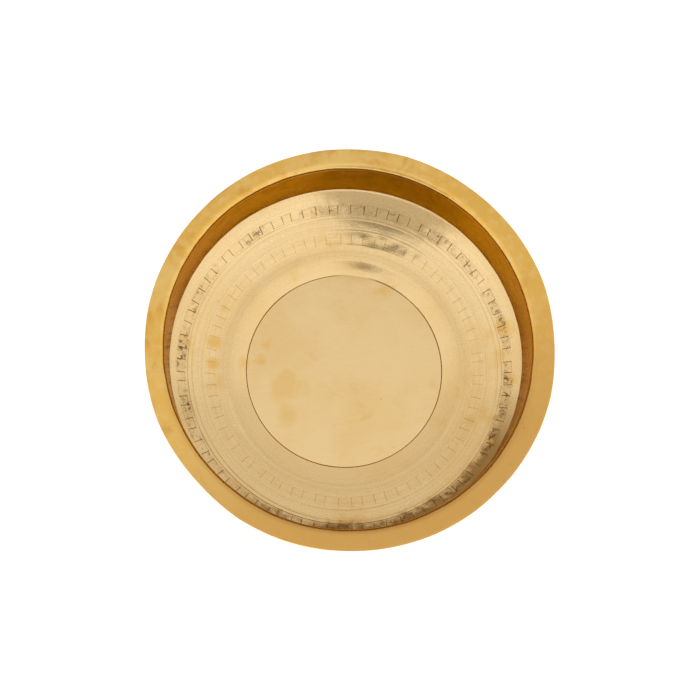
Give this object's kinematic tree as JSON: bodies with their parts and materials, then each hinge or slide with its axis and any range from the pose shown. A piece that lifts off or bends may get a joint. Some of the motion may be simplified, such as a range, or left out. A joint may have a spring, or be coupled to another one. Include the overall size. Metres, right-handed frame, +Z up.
{
  "type": "wide-mouthed water pot",
  "caption": "Squat brass water pot with a flat turned-out lip, upright neck, rounded belly and flat base, joined from sheets by toothed brazed seams.",
  "frame": {"origin": "centre of the flat base, on the surface that the pot stands on", "axes": "+Z up along the pot's axis, from the base to the mouth"},
  "size_m": [0.196, 0.196, 0.066],
  "materials": {
    "upper_brass": "satin yellow brass, lightly tarnished",
    "bowl_brass": "polished pale brass with spun lines",
    "base_brass": "polished pale brass with faint stains",
    "belly_spelter": "dull brazing metal with dark residue",
    "base_spelter": "dull brazing metal"
  },
  "bodies": {
    "root": {"upper_body": "upper_brass", "bowl": "bowl_brass", "base_pan": "base_brass", "belly_seam": "belly_spelter", "base_seam": "base_spelter"}
  },
  "joints": []
}
